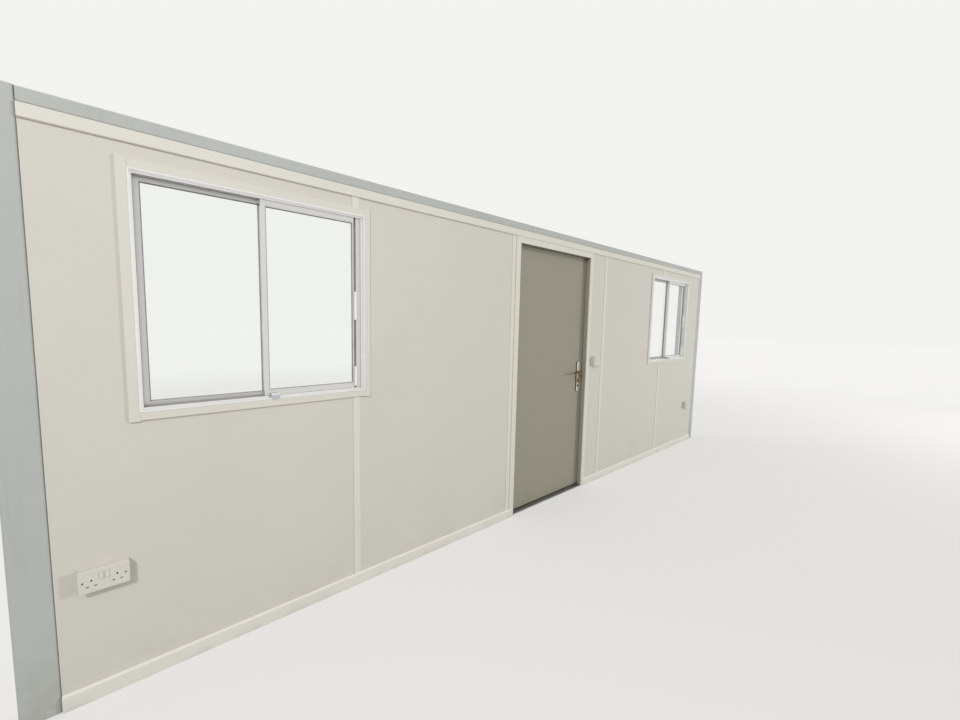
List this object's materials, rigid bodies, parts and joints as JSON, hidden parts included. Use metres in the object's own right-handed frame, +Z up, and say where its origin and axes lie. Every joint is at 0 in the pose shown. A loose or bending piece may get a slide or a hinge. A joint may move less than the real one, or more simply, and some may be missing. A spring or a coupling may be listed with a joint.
{
  "type": "site cabin side wall with door and windows",
  "caption": "Lined steel side wall of a portable site cabin, with corner posts, an outward-opening door with lever handle, and two aluminium windows with sliding sashes.",
  "frame": {"origin": "middle of the underside of the sole plate, halfway along the wall and halfway through its depth", "axes": "+X along the wall to the right as seen from inside the room, +Y out through the wall to the outside, +Z up"},
  "size_m": [6.058, 0.193, 2.215],
  "materials": {
    "frame_steel": "satin",
    "insulation": "matte",
    "outer_steel": "satin",
    "lining_board": "satin",
    "trim_board": "satin",
    "skirting": "satin",
    "door_frame_steel": "satin",
    "door_paint": "satin",
    "threshold_metal": "satin",
    "hinge_steel": "satin",
    "window_aluminium": "satin",
    "window_glass": "gloss",
    "catch_plastic": "satin",
    "switch_plastic": "gloss",
    "handle_metal": "satin",
    "cylinder_brass": "satin"
  },
  "bodies": {
    "wall": {"sole_plate": "frame_steel", "head_rail": "frame_steel", "left_post": "frame_steel", "right_post": "frame_steel", "core_left": "insulation", "core_right": "insulation", "outer_sheet_left": "outer_steel", "outer_sheet_right": "outer_steel", "lining_board_1": "lining_board", "lining_board_2": "lining_board", "lining_board_3": "lining_board", "lining_board_4": "lining_board", "lining_board_5": "lining_board", "cover_strips": "trim_board", "skirting_left": "skirting", "skirting_right": "skirting", "ceiling_trim": "trim_board", "door_frame": "door_frame_steel", "door_trim": "trim_board", "threshold": "threshold_metal", "frame_hinges": "hinge_steel", "window_left_liner": "outer_steel", "window_left_trim": "trim_board", "window_left_frame": "window_aluminium", "window_left_fixed_light": "window_aluminium", "window_left_sash": "window_aluminium", "window_left_glass": "window_glass", "window_left_catch": "catch_plastic", "window_right_liner": "outer_steel", "window_right_trim": "trim_board", "window_right_frame": "window_aluminium", "window_right_fixed_light": "window_aluminium", "window_right_sash": "window_aluminium", "window_right_glass": "window_glass", "window_right_catch": "catch_plastic", "socket_left": "switch_plastic", "socket_right": "switch_plastic", "light_switch": "switch_plastic"},
    "door": {"door_leaf": "door_paint", "door_core": "insulation", "leaf_hinges": "hinge_steel", "lock_plate_inner": "handle_metal", "lock_plate_outer": "handle_metal", "lock_cylinder": "cylinder_brass"},
    "lever": {"lever_handle": "handle_metal"}
  },
  "joints": [
    {"name": "door_hinge", "type": "hinge", "parent": "wall", "child": "door", "pos_m": [-0.5075, 0.045, 1.04], "axis": [0, 0, 1], "range_deg": [0, 110]},
    {"name": "lever_turn", "type": "hinge", "parent": "door", "child": "lever", "pos_m": [0.353, 0.01, 1.063], "axis": [0, -1, 0], "range_deg": [0, 45], "stiffness_Nm_per_rad": 1.5, "springref_deg": -20.05}
  ]
}
